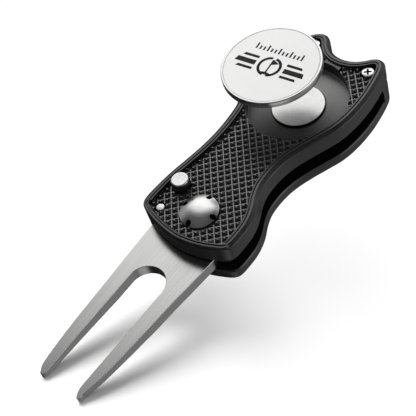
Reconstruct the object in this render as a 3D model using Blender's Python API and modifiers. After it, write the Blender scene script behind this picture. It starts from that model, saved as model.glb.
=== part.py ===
"""Push-button folding divot repair tool with a magnetic ball marker.

Two cast housings, screwed together at the rear horns and by the pivot, hold a
two-prong steel fork between them. The fork is shown swung out and the ball
marker lifted off its magnet, which is the rest pose.

Frame: the origin is on the pivot axis at the underside of the back housing.
+X runs along the handle towards its horns, the fork points along -X, and +Z is
out of the knurled front face. Left is +Y and right is -Y.
Sizes below are in millimetres. Plan places are from a datum on the handle's
centreline, abreast of the pivot; place() moves them so that the pivot is the
origin. Heights are from the underside of the back housing.
"""

import math

import bmesh
import bpy
from mathutils import Matrix, Vector

MM = 0.001

# ---------------------------------------------------------------- shared sizes
PIVOT = (0.45, -0.5)  # pivot axis
BUTTON = (4.4, 8.35)  # release button axis
STOP = (-3.2, 8.95)  # stop pin axis
RECESS = (40.05, 0.0)  # marker recess and magnet axis
SCREWS = {"left": (57.2, 7.0), "right": (55.3, -10.9)}  # rear screw axes
PIVOT_ORIGIN = (*PIVOT, 0.0)
BUTTON_ORIGIN = (*BUTTON, 8.0)

BACK_TOP = 3.2  # back housing plate
RECESS_R, RECESS_FLOOR = 13.05, 8.9
MAGNET_R, MAGNET_BOTTOM, MAGNET_TOP = 6.8, 8.2, 9.5
INSERT_INSET = 2.4  # grip pads' edge from the outline
CAP_R = 4.85
SLEEVE_R = 2.2
SPRING_R = 4.15  # torsion spring, to the middle of its wire
BUTTON_R, STEM_R, STEM_BOTTOM = 2.25, 1.5, 4.7
STOP_R = 0.9
STOP_FIT = 0.06  # clearance round the stop pin
SCREW_R = 1.6  # rear screw head

# Stations (x, y) of the handle's outer wall, counter-clockwise as seen from
# +Z: they run from the crown of the fork end along the right side, round the
# two horns and the notch between them, and back along the left side.
OUTLINE = [
    (-8.6, 0.0), (-8.35, -3.4), (-7.65, -6.9), (-6.6, -9.9), (-5.5, -12.3),
    (-4.5, -13.4), (-3.2, -13.85), (-0.8, -13.95), (2.5, -13.8), (5.3, -13.2),
    (7.9, -12.2), (10.6, -10.8), (13.5, -9.75), (17.0, -9.35), (20.5, -9.5),
    (24.0, -10.2), (28.0, -11.6), (32.0, -13.3), (36.5, -15.1), (41.5, -16.0),
    (47.5, -16.1), (52.0, -15.6), (55.5, -14.95), (58.0, -14.2), (59.7, -12.9),
    (60.2, -11.1), (59.5, -9.4), (58.1, -7.85), (56.7, -5.6), (56.1, -2.7),
    (56.6, 0.3), (58.0, 2.3), (60.1, 4.0), (61.2, 5.8), (60.95, 7.8),
    (59.3, 9.8), (56.1, 11.9), (51.7, 14.3), (46.6, 16.0), (41.0, 16.3),
    (36.0, 14.6), (31.6, 12.5), (26.4, 11.7), (21.0, 11.5), (16.0, 11.85),
    (11.0, 12.6), (6.0, 13.4), (1.5, 13.8), (-1.8, 13.9), (-3.6, 13.7),
    (-4.8, 13.0), (-5.7, 11.7), (-7.0, 8.6), (-8.0, 4.6),
]
OUTLINE_SPAN_STEPS = 8
OUTLINE_STEP = 1.15  # spacing of the resampled outline's points

# name: (colour, roughness, metallic)
FINISHES = {
    "black_paint": ((0.03, 0.03, 0.032), 0.42, 0.35),
    "grip_black": ((0.022, 0.022, 0.023), 0.5, 0.0),
    "steel": ((0.62, 0.62, 0.61), 0.3, 1.0),
    "bright_steel": ((0.78, 0.78, 0.78), 0.16, 1.0),
    "spring_steel": ((0.45, 0.45, 0.46), 0.3, 1.0),
    "bronze": ((0.55, 0.38, 0.2), 0.35, 1.0),
    "nickel": ((0.8, 0.8, 0.8), 0.08, 1.0),
    "marker_face": ((0.82, 0.82, 0.82), 0.25, 0.3),
    "polymer": ((0.6, 0.58, 0.52), 0.5, 0.0),
}


# ---------------------------------------------------------------- scene helpers
for old in list(bpy.data.objects):
    bpy.data.objects.remove(old)

scene = bpy.context.scene
parts = bpy.data.collections.new("divot_tool")
cutters = bpy.data.collections.new("cutters")
scene.collection.children.link(parts)
scene.collection.children.link(cutters)


def material(name, colour, roughness, metallic):
    made = bpy.data.materials.new(name)
    made.use_nodes = True
    shader = made.node_tree.nodes["Principled BSDF"]
    shader.inputs["Base Color"].default_value = (*colour, 1.0)
    shader.inputs["Roughness"].default_value = roughness
    shader.inputs["Metallic"].default_value = metallic
    made.diffuse_color = (*colour, 1.0)
    return made


MATERIALS = {name: material(name, *finish) for name, finish in FINISHES.items()}


def shade(mesh, degrees):
    mesh.shade_smooth()
    mesh.set_sharp_from_angle(angle=math.radians(degrees))


def place(name, mesh, origin, finish, collection=parts):
    """Links mesh, in metres about its own origin, as an object at the datum
    point `origin`, its place measured from the pivot."""
    mesh.materials.append(MATERIALS[finish])
    obj = bpy.data.objects.new(name, mesh)
    obj.location = (Vector(origin) - Vector(PIVOT_ORIGIN)) * MM
    collection.objects.link(obj)
    return obj


def node(name, mesh, origin, finish, collection=parts):
    """Places mesh, drawn in datum millimetres, with its own origin at `origin`."""
    mesh.transform(Matrix.Translation(-Vector(origin)))
    mesh.transform(Matrix.Scale(MM, 4))
    return place(name, mesh, origin, finish, collection)


def cutter(mesh):
    """A hidden boolean tool with the mesh's name."""
    obj = node(mesh.name, mesh, (0, 0, 0), "steel", cutters)
    obj.hide_render = True
    obj.display_type = "WIRE"
    return obj


def cut(target, tool, operation="DIFFERENCE"):
    modifier = target.modifiers.new(f"{operation.lower()}_{tool.name}", "BOOLEAN")
    modifier.operation = operation
    modifier.solver = "EXACT"
    modifier.object = tool


def cut_all(target, meshes):
    for mesh in meshes:
        cut(target, cutter(mesh))


def mesh_from(bm, name):
    bmesh.ops.recalc_face_normals(bm, faces=bm.faces)
    mesh = bpy.data.meshes.new(name)
    bm.to_mesh(mesh)
    bm.free()
    return mesh


# ---------------------------------------------------------------- plan curves
def vectors(points):
    return [Vector(p) for p in points]


def through(stations, per_span):
    """Closed centripetal Catmull-Rom curve through the stations."""
    points = vectors(stations)
    count = len(points)
    curve = []
    for i, start in enumerate(points):
        before = points[i - 1]
        end = points[(i + 1) % count]
        after = points[(i + 2) % count]
        # Each knot is the square root of a chord past the last; `before` is at 0.
        t_start = (start - before).length ** 0.5
        t_end = t_start + (end - start).length ** 0.5
        t_after = t_end + (after - end).length ** 0.5
        for k in range(per_span):
            t = t_start + (t_end - t_start) * k / per_span
            first = before.lerp(start, t / t_start)
            middle = start.lerp(end, (t - t_start) / (t_end - t_start))
            last = end.lerp(after, (t - t_end) / (t_after - t_end))
            early = first.lerp(middle, t / t_end)
            late = middle.lerp(last, (t - t_start) / (t_after - t_start))
            curve.append(early.lerp(late, (t - t_start) / (t_end - t_start)))
    return curve


def evenly(points, step):
    """The closed polyline resampled at about one point every `step`."""
    ring = points + points[:1]
    lengths = [(b - a).length for a, b in zip(ring, ring[1:])]
    total = sum(lengths)
    count = max(8, round(total / step))
    out = []
    i = 0
    passed = 0.0
    for k in range(count):
        wanted = total * k / count
        while passed + lengths[i] < wanted:
            passed += lengths[i]
            i += 1
        out.append(ring[i].lerp(ring[i + 1], (wanted - passed) / lengths[i]))
    return out


def gap_to(point, ring):
    """Shortest distance from the point to the closed ring."""
    best = math.inf
    for start, end in zip(ring, ring[1:] + ring[:1]):
        side = end - start
        share = max(0.0, min(1.0, (point - start).dot(side) / side.length_squared))
        best = min(best, (point - start - side * share).length)
    return best


def inset(ring, distance):
    """The line a given distance inside a counter-clockwise ring. Points that
    land too near another stretch of the ring are left out."""
    out = []
    count = len(ring)
    for i in range(count):
        along = (ring[(i + 1) % count] - ring[i - 1]).normalized()
        moved = ring[i] + Vector((-along.y, along.x)) * distance
        if gap_to(moved, ring) > distance * 0.985:
            out.append(moved)
    return out


def box_ring(x0, y0, x1, y1):
    return vectors([(x0, y0), (x1, y0), (x1, y1), (x0, y1)])


def arc(centre, radius, start, end, steps):
    """Points along an arc between two angles in degrees, both ends included."""
    points = []
    for k in range(steps + 1):
        angle = math.radians(start + (end - start) * k / steps)
        x = centre[0] + radius * math.cos(angle)
        y = centre[1] + radius * math.sin(angle)
        points.append(Vector((x, y)))
    return points


# ---------------------------------------------------------------- solid makers
def slab(name, ring, z0, z1, top=None, bottom=None):
    """A flat plate with the plan `ring`, its top and bottom edges bevelled by
    (width, drop) where those are given."""
    bm = bmesh.new()
    base = bm.faces.new([bm.verts.new((p.x, p.y, z0)) for p in ring])
    bm.normal_update()
    if base.normal.z > 0:
        base.normal_flip()
    if bottom:
        for v in base.verts:
            v.co.z = z0 + bottom[1]
    grown = bmesh.ops.extrude_face_region(bm, geom=[base])["geom"]
    lid = next(g for g in grown if isinstance(g, bmesh.types.BMFace))
    for v in lid.verts:
        v.co.z = z1 - (top[1] if top else 0.0)
    bm.normal_update()
    for face, bevel, level in ((lid, top, z1), (base, bottom, z0)):
        if bevel:
            bmesh.ops.recalc_face_normals(bm, faces=bm.faces)
            bmesh.ops.inset_region(
                bm, faces=[face], thickness=bevel[0], use_even_offset=True
            )
            for v in face.verts:
                v.co.z = level
    return mesh_from(bm, name)


def drum(name, centre, radius, z0, z1, sides, bevel=0.0):
    """A round bar along Z."""
    bm = bmesh.new()
    bmesh.ops.create_cone(
        bm,
        cap_ends=True,
        segments=sides,
        radius1=radius,
        radius2=radius,
        depth=z1 - z0,
        matrix=Matrix.Translation((centre[0], centre[1], (z0 + z1) / 2)),
    )
    if bevel:
        rims = [e for e in bm.edges if len({round(v.co.z, 4) for v in e.verts}) == 1]
        bmesh.ops.bevel(
            bm, geom=rims, offset=bevel, segments=2, profile=0.5, affect="EDGES"
        )
    return mesh_from(bm, name)


def turned(name, profile, origin, finish, sides):
    """A piece turned about the vertical through `origin`: profile points
    (radius, z), from the top down its outer side, spun by a Screw modifier.
    A profile that starts and ends off the axis is closed on itself."""
    bm = bmesh.new()
    row = [bm.verts.new((r * MM, 0.0, (z - origin[2]) * MM)) for r, z in profile]
    for upper, lower in zip(row, row[1:]):
        bm.edges.new((upper, lower))
    if profile[0][0] > 0 and profile[-1][0] > 0:
        bm.edges.new((row[-1], row[0]))
    mesh = bpy.data.meshes.new(name)
    bm.to_mesh(mesh)
    bm.free()
    obj = place(name, mesh, origin, finish)
    spin = obj.modifiers.new("turn", "SCREW")
    spin.axis = "Z"
    spin.steps = sides
    spin.render_steps = sides
    spin.use_merge_vertices = True
    spin.merge_threshold = 0.000005
    spin.use_smooth_shade = True
    return obj


def coil(name, centre, radius, wire, z0, z1, turns, sides, lead=(), tail=()):
    """A spring: a POLY spline along a helix, with straight ends given as extra
    points before and after it, bevelled to the wire's radius."""
    steps = int(turns * sides)
    points = list(lead)
    for k in range(steps + 1):
        angle = 2 * math.pi * turns * k / steps
        x = centre[0] + radius * math.cos(angle)
        y = centre[1] + radius * math.sin(angle)
        points.append((x, y, z0 + (z1 - z0) * k / steps))
    points += list(tail)
    curve = bpy.data.curves.new(name, "CURVE")
    curve.dimensions = "3D"
    curve.bevel_depth = wire
    curve.bevel_resolution = 1
    curve.use_fill_caps = True
    spline = curve.splines.new("POLY")
    spline.points.add(len(points) - 1)
    for knot, point in zip(spline.points, points):
        knot.co = (*point, 1.0)
    guide = bpy.data.objects.new(name + "_path", curve)
    scene.collection.objects.link(guide)
    bpy.context.view_layer.update()
    depsgraph = bpy.context.evaluated_depsgraph_get()
    swept = bpy.data.meshes.new_from_object(guide.evaluated_get(depsgraph))
    bpy.data.objects.remove(guide)
    # Merging doubles joins the end caps to the tube.
    bm = bmesh.new()
    bm.from_mesh(swept)
    bmesh.ops.remove_doubles(bm, verts=bm.verts, dist=0.001)
    mesh = mesh_from(bm, name)
    bpy.data.meshes.remove(swept)
    shade(mesh, 60)
    return node(name, mesh, (*centre, 0.0), "spring_steel")


# ---------------------------------------------------------------- front housing
FRONT_BOTTOM, FRONT_TOP = 7.3, 12.7
RIM_BEVEL = (0.95, 0.7)  # width, drop
LEDGE = 12.07  # floor inside the rim
LEDGE_INSET = INSERT_INSET - 0.17
FRONT_THROUGH = (6.0, 14.0)  # heights of a tool that passes right through
SPRING_POCKET_R, SPRING_POCKET_TOP = 5.2, 9.4
SPRING_SLOT_HALF = 0.35  # half the width of the slot for the spring's upper leg
SPRING_SLOT_Y = (-5.4, -2.0)  # from the pivot
SPRING_SLOT_Z = (6.1, 9.35)
FLANGE_POCKET_R, FLANGE_POCKET_Z = 3.2, (6.2, 9.5)
SCREW_BORE_R, SCREW_SEAT = 1.1, 10.25


def build_front():
    front = node(
        "front_body",
        slab("front_body", body_ring, FRONT_BOTTOM, FRONT_TOP, top=RIM_BEVEL),
        PIVOT_ORIGIN, "black_paint",
    )
    spring_slot = box_ring(
        PIVOT[0] - SPRING_R - SPRING_SLOT_HALF, PIVOT[1] + SPRING_SLOT_Y[0],
        PIVOT[0] - SPRING_R + SPRING_SLOT_HALF, PIVOT[1] + SPRING_SLOT_Y[1],
    )
    cut_all(front, [
        slab("cut_ledge", inset(body_ring, LEDGE_INSET), LEDGE, 14.0),
        drum("cut_recess", RECESS, RECESS_R, RECESS_FLOOR, 14.5, 72),
        drum("cut_magnet_pocket", RECESS, MAGNET_R + 0.25, MAGNET_BOTTOM - 0.1, 10.0, 64),
        drum("cut_pivot_bore", PIVOT, SLEEVE_R + 0.15, *FRONT_THROUGH, 32),
        drum("cut_spring_pocket", PIVOT, SPRING_POCKET_R, 6.0, SPRING_POCKET_TOP, 48),
        slab("cut_spring_slot", spring_slot, *SPRING_SLOT_Z),
        drum("cut_button_bore", BUTTON, BUTTON_R + 0.12, *FRONT_THROUGH, 32),
        drum("cut_button_flange", BUTTON, FLANGE_POCKET_R, *FLANGE_POCKET_Z, 32),
        drum("cut_stop_bore", STOP, STOP_R + STOP_FIT, *FRONT_THROUGH, 24),
    ])
    for side, axis in SCREWS.items():
        cut_all(front, [
            drum(f"cut_screw_{side}", axis, SCREW_BORE_R, *FRONT_THROUGH, 24),
            drum(f"cut_screw_head_{side}", axis, SCREW_R + 0.12, SCREW_SEAT, 14.2, 32),
        ])
    return front


# ---------------------------------------------------------------- grip pads
# Three knurled pads fill the pocket inside the rim: one on the fork side of the
# marker recess, and one beyond it on each horn. Each has its own seat in the
# housing. Boxes (x0, y0, x1, y1) that bound each pad:
PADS = {
    "front": (-30.0, -30.0, 30.2, 30.0),
    "rear_right": (44.6, -30.0, 90.0, -4.6),
    "rear_left": (45.6, 1.6, 90.0, 30.0),
}
INSERT_BOTTOM, INSERT_TOP = 10.35, 12.15
INSERT_BEVEL = (0.15, 0.15)  # width, drop
INSERT_SEAT = 10.2  # pocket floor
SEAT_INSET = INSERT_INSET - 0.07
SEAT_MARGIN = 0.12  # seat beyond the pad's box, and pad back from the recess wall
RECESS_RIM = 0.45  # wall left between the recess and the seats
PAD_THROUGH = (9.0, 13.0)  # heights of a tool that passes right through a pad


def horn_holes(side, axis):
    """Tools for one horn's screw head and for its tip, which has no grip."""
    x, y = axis
    tip = vectors([(x, y - 3.4), (x + 9, y - 6), (x + 9, y + 6), (x, y + 3.4)])
    return [
        cutter(drum(f"hole_pad_{side}", axis, SCREW_R + 0.3, *PAD_THROUGH, 32)),
        cutter(slab(f"hole_tip_{side}", tip, 9.1, 13.1)),
    ]


def build_pads(front):
    seat_ring = inset(body_ring, SEAT_INSET)
    insert_ring = inset(body_ring, INSERT_INSET)
    wall_r = RECESS_R + RECESS_RIM
    seat_stop = cutter(drum("seat_stop", RECESS, wall_r, 9.5, 15.0, 72))
    recess_hole = cutter(
        drum("hole_pad_recess", RECESS, wall_r + SEAT_MARGIN, *PAD_THROUGH, 72)
    )
    at_horn = {side: horn_holes(side, axis) for side, axis in SCREWS.items()}
    holes = {
        "front": [
            cutter(drum("hole_pad_cap", PIVOT, CAP_R + 0.25, *PAD_THROUGH, 48)),
            cutter(drum("hole_pad_button", BUTTON, BUTTON_R + 0.2, *PAD_THROUGH, 32)),
            cutter(drum("hole_pad_stop", STOP, 1.45, *PAD_THROUGH, 24)),
            *at_horn["left"],
            *at_horn["right"],
        ],
        "rear_right": at_horn["right"],
        "rear_left": at_horn["left"],
    }
    for end, (x0, y0, x1, y1) in PADS.items():
        seat = cutter(slab(f"seat_{end}", seat_ring, INSERT_SEAT, 14.1))
        around = box_ring(
            x0 - SEAT_MARGIN, y0 - SEAT_MARGIN, x1 + SEAT_MARGIN, y1 + SEAT_MARGIN
        )
        cut(seat, cutter(slab(f"seat_box_{end}", around, 9.8, 14.6)), "INTERSECT")
        cut(seat, seat_stop)
        cut(front, seat)

        name = f"grip_{end}"
        shape = slab(name, insert_ring, INSERT_BOTTOM, INSERT_TOP, top=INSERT_BEVEL)
        pad = node(name, shape, PIVOT_ORIGIN, "grip_black")
        within = slab(f"pad_box_{end}", box_ring(x0, y0, x1, y1), 9.9, 14.5)
        cut(pad, cutter(within), "INTERSECT")
        for hole in [recess_hole, *holes[end]]:
            cut(pad, hole)


# ---------------------------------------------------------------- back housing
# Plate, with a wall along its left side and rear that the front housing sits on.
SPINE_TOP = 7.18
BACK_BEVEL = (0.7, 0.55)  # width, drop
WALL = 2.6  # spine wall thickness
BOSS_R = 2.7  # bosses for the rear screws
# Plan (x, y) of the part of the slot that is open at the right side and at the
# fork end.
SLOT_OPENING = [
    (-20.0, -30.0), (55.3, -30.0), (55.3, -13.0), (50.0, -12.5), (40.0, -12.5),
    (24.0, -6.0), (8.0, -6.0), (2.0, 0.0), (-3.5, 11.3), (-20.0, 11.3),
]
BACK_BLIND = (0.8, 5.0)  # heights of a tool that stops inside the plate


def build_back():
    back = node(
        "back_body",
        slab("back_body", body_ring, 0.0, SPINE_TOP, bottom=BACK_BEVEL),
        PIVOT_ORIGIN, "black_paint",
    )
    inside = cutter(slab("cut_slot", inset(body_ring, WALL), BACK_TOP, 9.0))
    slot = cutter(slab("cut_slot_side", vectors(SLOT_OPENING), BACK_TOP, 9.2))
    cut(slot, inside, "UNION")
    # What is taken off the tool here is left standing in the slot.
    cut_all(slot, [
        drum(f"boss_{side}", axis, BOSS_R, 2.0, 10.5, 36) for side, axis in SCREWS.items()
    ])
    cut(back, slot)
    cut_all(back, [
        drum("cut_back_pivot", PIVOT, SLEEVE_R + 0.12, -1.0, 5.0, 32),
        drum("cut_back_head", PIVOT, FLANGE_R + 0.1, -1.0, FLANGE_TOP + 0.05, 40),
        drum("cut_back_button", BUTTON, STEM_R + 0.25, *BACK_BLIND, 32),
        drum("cut_back_stop", STOP, STOP_R + STOP_FIT, *BACK_BLIND, 24),
    ])
    cut_all(back, [
        drum(f"cut_back_screw_{side}", axis, 0.86, 2.0, 9.0, 24)
        for side, axis in SCREWS.items()
    ])


# ---------------------------------------------------------------- fork
FORK_TOP, FORK_THICK = 6.95, 3.2
FORK_TIP_RISE = 1.5  # how far the underside rises towards the tips
TAPER_FROM, TAPER_TO = -26.0, -51.3
TANG_R = 8.0
SHOULDER_X = -4.4
BUSH_R = 3.0
# Outer edges (x, y) of the fork's blade, from the handle to the tips.
FORK_RIGHT = [
    (-6.6, -9.2), (-14.6, -8.65), (-21.2, -8.15), (-28.0, -7.82), (-34.0, -7.52),
    (-38.0, -7.28), (-42.0, -7.02), (-45.0, -6.75), (-47.0, -6.48), (-48.6, -6.2),
    (-49.6, -5.98),
]
FORK_LEFT = [
    (-6.8, 10.72), (-11.4, 10.5), (-19.0, 10.05), (-26.9, 9.55), (-34.4, 9.15),
    (-39.0, 8.8), (-43.0, 8.42), (-46.5, 8.02), (-48.2, 7.76), (-49.2, 7.5),
    (-50.1, 7.02),
]
SLOT_CENTRE, SLOT_R = (-20.05, 0.83), 4.92
# The slot's two edges (x, y), from its round end towards the tips.
SLOT_RIGHT = [
    (-30.0, -4.08), (-38.0, -4.16), (-46.0, -4.14), (-48.6, -4.22), (-49.6, -4.5),
    (-50.3, -4.85),
]
SLOT_LEFT = [(-30.0, 5.68), (-38.0, 5.58), (-46.0, 5.42), (-49.2, 5.36)]
# Rounded prong tips: centre, radius, start and end angles, steps.
TIP_RIGHT = ((-50.3, -5.5), 0.6, 262, 118, 6)
TIP_LEFT = ((-50.35, 6.08), 0.66, 258, 112, 6)


def fork_plan():
    tang_end = math.degrees(math.acos((SHOULDER_X - PIVOT[0]) / TANG_R))
    return [
        *vectors(FORK_RIGHT),
        *arc(*TIP_RIGHT),
        *vectors(reversed(SLOT_RIGHT)),
        *arc(SLOT_CENTRE, SLOT_R, 270, 450, 22),
        *vectors(SLOT_LEFT),
        *arc(*TIP_LEFT),
        *vectors(reversed(FORK_LEFT)),
        Vector((SHOULDER_X, 10.8)),
        *arc(PIVOT, TANG_R, tang_end, -tang_end, 34),
        Vector((SHOULDER_X, -9.25)),
    ]


def build_fork():
    flat = slab("flat_fork", fork_plan(), FORK_TOP - FORK_THICK, FORK_TOP)
    bm = bmesh.new()
    bm.from_mesh(flat)
    bpy.data.meshes.remove(flat)
    # An edge loop where the underside starts to rise.
    bmesh.ops.bisect_plane(
        bm, geom=[*bm.verts, *bm.edges, *bm.faces],
        plane_co=(TAPER_FROM, 0, 0), plane_no=(1, 0, 0),
    )
    for v in bm.verts:
        if v.co.z < FORK_TOP - 0.1 and v.co.x < TAPER_FROM:
            share = (TAPER_FROM - v.co.x) / (TAPER_FROM - TAPER_TO)
            v.co.z += FORK_TIP_RISE * share
    fork = node("fork", mesh_from(bm, "fork"), PIVOT_ORIGIN, "steel")

    # The lock notches: one for the open fork, one half a turn on for the folded.
    folded = Vector(PIVOT) - (Vector(BUTTON) - Vector(PIVOT))
    notch_r = STEM_R + 0.45
    spring_hole = (PIVOT[0] + SPRING_R, PIVOT[1])
    cut_all(fork, [
        drum("cut_fork_bore", PIVOT, BUSH_R + 0.05, 2.0, 9.0, 36),
        drum("cut_fork_open_notch", BUTTON, notch_r, 2.0, 9.0, 32),
        drum("cut_fork_folded_notch", folded, notch_r, 2.0, 9.0, 32),
        drum("cut_fork_spring_hole", spring_hole, 0.6, 4.6, 9.0, 20),
    ])


# ---------------------------------------------------------------- pivot
CAP_BOTTOM, CAP_EDGE, CAP_APEX = 10.35, 12.1, 13.4
CAP_STEM_R, CAP_STEM_BOTTOM = 1.5, 6.2
DOME_ANGLES = (14, 28, 42, 55, 67, 78)  # degrees from the apex
DOME_FULLNESS = 0.985  # dome's width as a share of the cap's
CAP_NOTCH_R, CAP_NOTCH_FROM_AXIS, CAP_NOTCH_TURN = 0.8, 4.75, 2
SLEEVE_TOP, SLEEVE_BORE_R, SLEEVE_BORE_FLOOR = 10.0, 1.6, 3.0
FLANGE_R, FLANGE_TOP, FLANGE_BEVEL = 4.0, 1.25, 0.15  # sleeve's bottom flange
# name: (inner radius, outer radius, bottom, top, finish)
PIVOT_RINGS = {
    "pivot_bush": (SLEEVE_R + 0.05, BUSH_R, 3.8, 6.9, "bronze"),
    "washer_front": (5.45, 7.2, 7.0, 7.25, "polymer"),
    "washer_back": (2.6, 7.2, BACK_TOP + 0.05, 3.7, "polymer"),
}


def build_cap():
    """Domed cap on a stem, with four notches round its edge."""
    dome = [(0.0, CAP_APEX)]
    for degrees in DOME_ANGLES:
        angle = math.radians(degrees)
        r = CAP_R * math.sin(angle) * DOME_FULLNESS
        dome.append((r, CAP_EDGE + (CAP_APEX - CAP_EDGE) * math.cos(angle)))
    stem = [
        (CAP_R, CAP_EDGE), (CAP_R, CAP_BOTTOM), (CAP_STEM_R, CAP_BOTTOM),
        (CAP_STEM_R, CAP_STEM_BOTTOM), (0.0, CAP_STEM_BOTTOM),
    ]
    cap = turned("pivot_cap", dome + stem, PIVOT_ORIGIN, "bright_steel", 56)
    for k in range(4):
        angle = math.radians(CAP_NOTCH_TURN + 90 * k)
        x = PIVOT[0] + CAP_NOTCH_FROM_AXIS * math.cos(angle)
        y = PIVOT[1] + CAP_NOTCH_FROM_AXIS * math.sin(angle)
        cut(cap, cutter(drum(f"cut_cap_{k}", (x, y), CAP_NOTCH_R, 11.55, 14.0, 20)))


def build_sleeve_and_rings():
    turned(
        "pivot_sleeve",
        [(SLEEVE_BORE_R, SLEEVE_TOP), (SLEEVE_R, SLEEVE_TOP), (SLEEVE_R, FLANGE_TOP),
         (FLANGE_R, FLANGE_TOP), (FLANGE_R, FLANGE_BEVEL), (FLANGE_R - FLANGE_BEVEL, 0.0),
         (0.0, 0.0), (0.0, SLEEVE_BORE_FLOOR), (SLEEVE_BORE_R, SLEEVE_BORE_FLOOR)],
        PIVOT_ORIGIN, "steel", 48,
    )
    for name, (inner, outer, bottom, top, finish) in PIVOT_RINGS.items():
        profile = [(inner, top), (outer, top), (outer, bottom), (inner, bottom)]
        turned(name, profile, PIVOT_ORIGIN, finish, 48)


def build_torsion_spring():
    """Opening spring round the sleeve, one leg down into the fork's hole, the
    other out into the front housing's slot."""
    leg_x, leg_y = PIVOT[0] + SPRING_R, PIVOT[1] - 0.12
    coil(
        "torsion_spring", PIVOT, SPRING_R, wire=0.2, z0=7.65, z1=9.1, turns=2.5, sides=22,
        lead=[(leg_x, leg_y, 5.2), (leg_x, leg_y, 7.35)],
        tail=[(PIVOT[0] - SPRING_R, PIVOT[1] - 4.9, 9.1)],
    )


# ---------------------------------------------------------------- release button
# Profiles (radius, z).
BUTTON_TOP = 14.4
BUTTON_PROFILE = [
    (0.0, 13.65), (BUTTON_R - 0.25, 13.65), (BUTTON_R, 13.4), (BUTTON_R, 9.4),
    (2.95, 9.4), (2.95, 8.85), (STEM_R, 8.85), (STEM_R, STEM_BOTTOM),
    (0.0, STEM_BOTTOM),
]
BUTTON_CAP_PROFILE = [
    (0.0, BUTTON_TOP), (BUTTON_R - 0.3, BUTTON_TOP), (BUTTON_R, BUTTON_TOP - 0.25),
    (BUTTON_R, 13.7), (0.0, 13.7),
]
STOP_HEAD_R, STOP_TOP = 1.12, 11.75
STOP_PROFILE = [
    (0.0, STOP_TOP), (STOP_HEAD_R - 0.2, STOP_TOP), (STOP_HEAD_R, STOP_TOP - 0.2),
    (STOP_HEAD_R, 10.5), (STOP_R, 10.5), (STOP_R, 1.0), (STOP_R - 0.15, 0.85),
    (0.0, 0.85),
]


def build_button_and_stop():
    turned("release_button", BUTTON_PROFILE, BUTTON_ORIGIN, "black_paint", 40)
    turned("button_cap", BUTTON_CAP_PROFILE, BUTTON_ORIGIN, "bright_steel", 40)
    coil(
        "button_spring", BUTTON, 1.2, wire=0.17, z0=1.1, z1=STEM_BOTTOM - 0.3,
        turns=5.0, sides=14,
    )
    turned("stop_pin", STOP_PROFILE, (*STOP, 0.0), "bright_steel", 28)


# ---------------------------------------------------------------- rear screws
# Profile (radius, z).
SCREW_PROFILE = [
    (0.0, 12.25), (0.9, 12.2), (1.35, 12.05), (SCREW_R, 11.8), (SCREW_R, 10.35),
    (1.0, 10.35), (1.0, 7.25), (0.8, 7.15), (0.8, 2.6), (0.0, 2.3),
]
CROSS_ARM = (1.7, 0.36, 1.4)  # length, width, height of one bar of the cross
CROSS_Z, CROSS_TURN = 12.1, 35


def build_screws():
    for side, axis in SCREWS.items():
        screw = turned(
            f"rear_screw_{side}", SCREW_PROFILE, (*axis, 0.0), "bright_steel", 32
        )
        for k in range(2):
            bm = bmesh.new()
            bmesh.ops.create_cube(
                bm, size=1.0,
                matrix=Matrix.Translation((*axis, CROSS_Z))
                @ Matrix.Rotation(math.radians(CROSS_TURN + 90 * k), 4, "Z")
                @ Matrix.Diagonal((*CROSS_ARM, 1.0)),
            )
            cut(screw, cutter(mesh_from(bm, f"cut_cross_{side}_{k}")))


# ---------------------------------------------------------------- magnet, marker
MARKER_R, MARKER_THICK, MARKER_SEAT = 12.4, 1.8, 9.6
MARKER_BEVEL = 0.25
MARKER_RIM, MARKER_DISH = 1.0, 0.5  # raised rim's width, depth inside it
LIFT = (-2.95, 2.7, 14.3)  # marker, from its seat to where it is shown


def build_magnet():
    disc = drum("magnet", RECESS, MAGNET_R, MAGNET_BOTTOM, MAGNET_TOP, 64, bevel=0.12)
    magnet = node("magnet", disc, (*RECESS, MAGNET_BOTTOM), "nickel")
    shade(magnet.data, 35)


def build_marker():
    bottom = MARKER_SEAT + LIFT[2]
    top = bottom + MARKER_THICK
    origin = (RECESS[0] + LIFT[0], RECESS[1] + LIFT[1], bottom)
    rim_r, edge_r = MARKER_R - MARKER_RIM, MARKER_R - MARKER_BEVEL
    turned(
        "ball_marker",
        [(rim_r, top), (edge_r, top), (MARKER_R, top - MARKER_BEVEL),
         (MARKER_R, bottom + MARKER_BEVEL), (edge_r, bottom), (0.0, bottom),
         (0.0, top - MARKER_DISH), (rim_r, top - MARKER_DISH)],
        origin, "steel", 88,
    )
    inlay_r, inlay_top, inlay_bottom = rim_r - 0.05, top + 0.02, top - 0.47
    turned(
        "marker_inlay",
        [(0.0, inlay_top), (inlay_r - 0.2, inlay_top), (inlay_r, top - 0.06),
         (inlay_r, inlay_bottom), (0.0, inlay_bottom)],
        origin, "marker_face", 88,
    )


# ---------------------------------------------------------------- assembly
body_ring = evenly(through(OUTLINE, OUTLINE_SPAN_STEPS), OUTLINE_STEP)
build_pads(build_front())
build_back()
build_fork()
build_cap()
build_sleeve_and_rings()
build_torsion_spring()
build_button_and_stop()
build_screws()
build_magnet()
build_marker()
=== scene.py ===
"""Looks of a folding divot repair tool, built round its CAD frame.

Shapes are drawn in millimetres and scaled to metres at the end. The pivot axis
stands on the origin and the back face lies at z 0, so the front face looks along
+Z. The fork points along -X and the handle along +X, with its left side at +Y and
its right side at -Y. The floor, lights and camera are placed in metres.
"""

import math

import bmesh
import bpy
from mathutils import Matrix, Vector


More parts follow.
